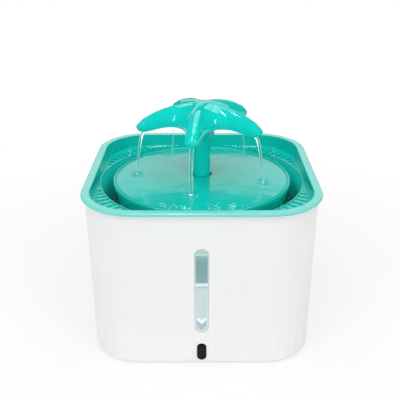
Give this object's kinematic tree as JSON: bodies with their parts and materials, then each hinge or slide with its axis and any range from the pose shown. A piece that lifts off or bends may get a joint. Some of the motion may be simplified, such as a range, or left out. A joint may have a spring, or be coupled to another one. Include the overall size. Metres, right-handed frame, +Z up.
{
  "type": "pet water fountain",
  "caption": "Square pet water fountain: tank with level window, lift-out tray and domed dish, starfish spout on a stem, ring filter and magnet-drive pump inside.",
  "frame": {"origin": "middle of the base, on the surface that the rubber feet stand on", "axes": "+Z up; -Y towards the front, where the water-level window is; +X to the right of it"},
  "size_m": [0.18, 0.18, 0.1849],
  "materials": {
    "white_plastic": "satin",
    "turquoise_plastic": "glossy",
    "window_plastic": "clear",
    "white_filter_plastic": "matt",
    "black_plastic": "matt",
    "black_rubber": "matt",
    "grey_rubber": "matt",
    "clear_rubber": "satin",
    "carbon": "granular",
    "resin": "granular",
    "cotton": "fibrous",
    "sponge": "open-celled",
    "steel": "ground",
    "ceramic": "smooth",
    "ferrite": "matt",
    "lamp_lens": "clear"
  },
  "bodies": {
    "tank": {"tank": "white_plastic", "level_window": "window_plastic", "window_seal": "grey_rubber", "foot_front_left": "grey_rubber", "foot_front_right": "grey_rubber", "foot_rear_left": "grey_rubber", "foot_rear_right": "grey_rubber", "cable_grommet": "grey_rubber", "pump_housing": "black_plastic", "pump_volute": "black_plastic", "rotor_shaft": "steel", "front_bush": "ceramic", "rear_bush": "ceramic", "suction_cup_front_left": "clear_rubber", "suction_cup_front_right": "clear_rubber", "suction_cup_rear_left": "clear_rubber", "suction_cup_rear_right": "clear_rubber", "led_lens": "lamp_lens", "riser_tube": "white_filter_plastic", "nozzle_o_ring": "black_rubber"},
    "tray": {"tray": "turquoise_plastic"},
    "filter": {"filter_frame": "white_filter_plastic", "carbon_bed": "carbon", "resin_bed": "resin", "filter_cotton": "cotton"},
    "dish": {"dish": "turquoise_plastic", "socket_seal": "clear_rubber"},
    "stem": {"stem": "turquoise_plastic", "stem_o_ring": "clear_rubber"},
    "starfish": {"starfish_shell": "turquoise_plastic", "starfish_plate": "turquoise_plastic"},
    "rotor": {"impeller": "white_filter_plastic", "rotor_magnet": "ferrite"},
    "intake_cover": {"intake_cover": "black_plastic", "intake_sponge": "sponge"},
    "flow_gate": {"flow_gate": "black_plastic"}
  },
  "joints": [
    {"name": "tray_lift", "type": "slide", "parent": "tank", "child": "tray", "axis": [0, 0, 1], "range_m": [0, 0.06]},
    {"name": "filter_lift", "type": "slide", "parent": "tray", "child": "filter", "axis": [0, 0, 1], "range_m": [0, 0.056]},
    {"name": "dish_lift", "type": "slide", "parent": "filter", "child": "dish", "axis": [0, 0, 1], "range_m": [0, 0.036]},
    {"name": "stem_lift", "type": "slide", "parent": "dish", "child": "stem", "axis": [0, 0, 1], "range_m": [0, 0.014]},
    {"name": "starfish_swivel", "type": "hinge", "parent": "stem", "child": "starfish", "pos_m": [0, 0, 0.1714], "axis": [0, 0, 1], "continuous": true},
    {"name": "rotor_spin", "type": "hinge", "parent": "tank", "child": "rotor", "pos_m": [0, 0.007, 0.023], "axis": [0, 1, 0], "continuous": true},
    {"name": "intake_cover_slide", "type": "slide", "parent": "tank", "child": "intake_cover", "axis": [0, -1, 0], "range_m": [0, 0.012]},
    {"name": "flow_gate_slide", "type": "slide", "parent": "intake_cover", "child": "flow_gate", "axis": [1, 0, 0], "range_m": [0, 0.0019]}
  ]
}
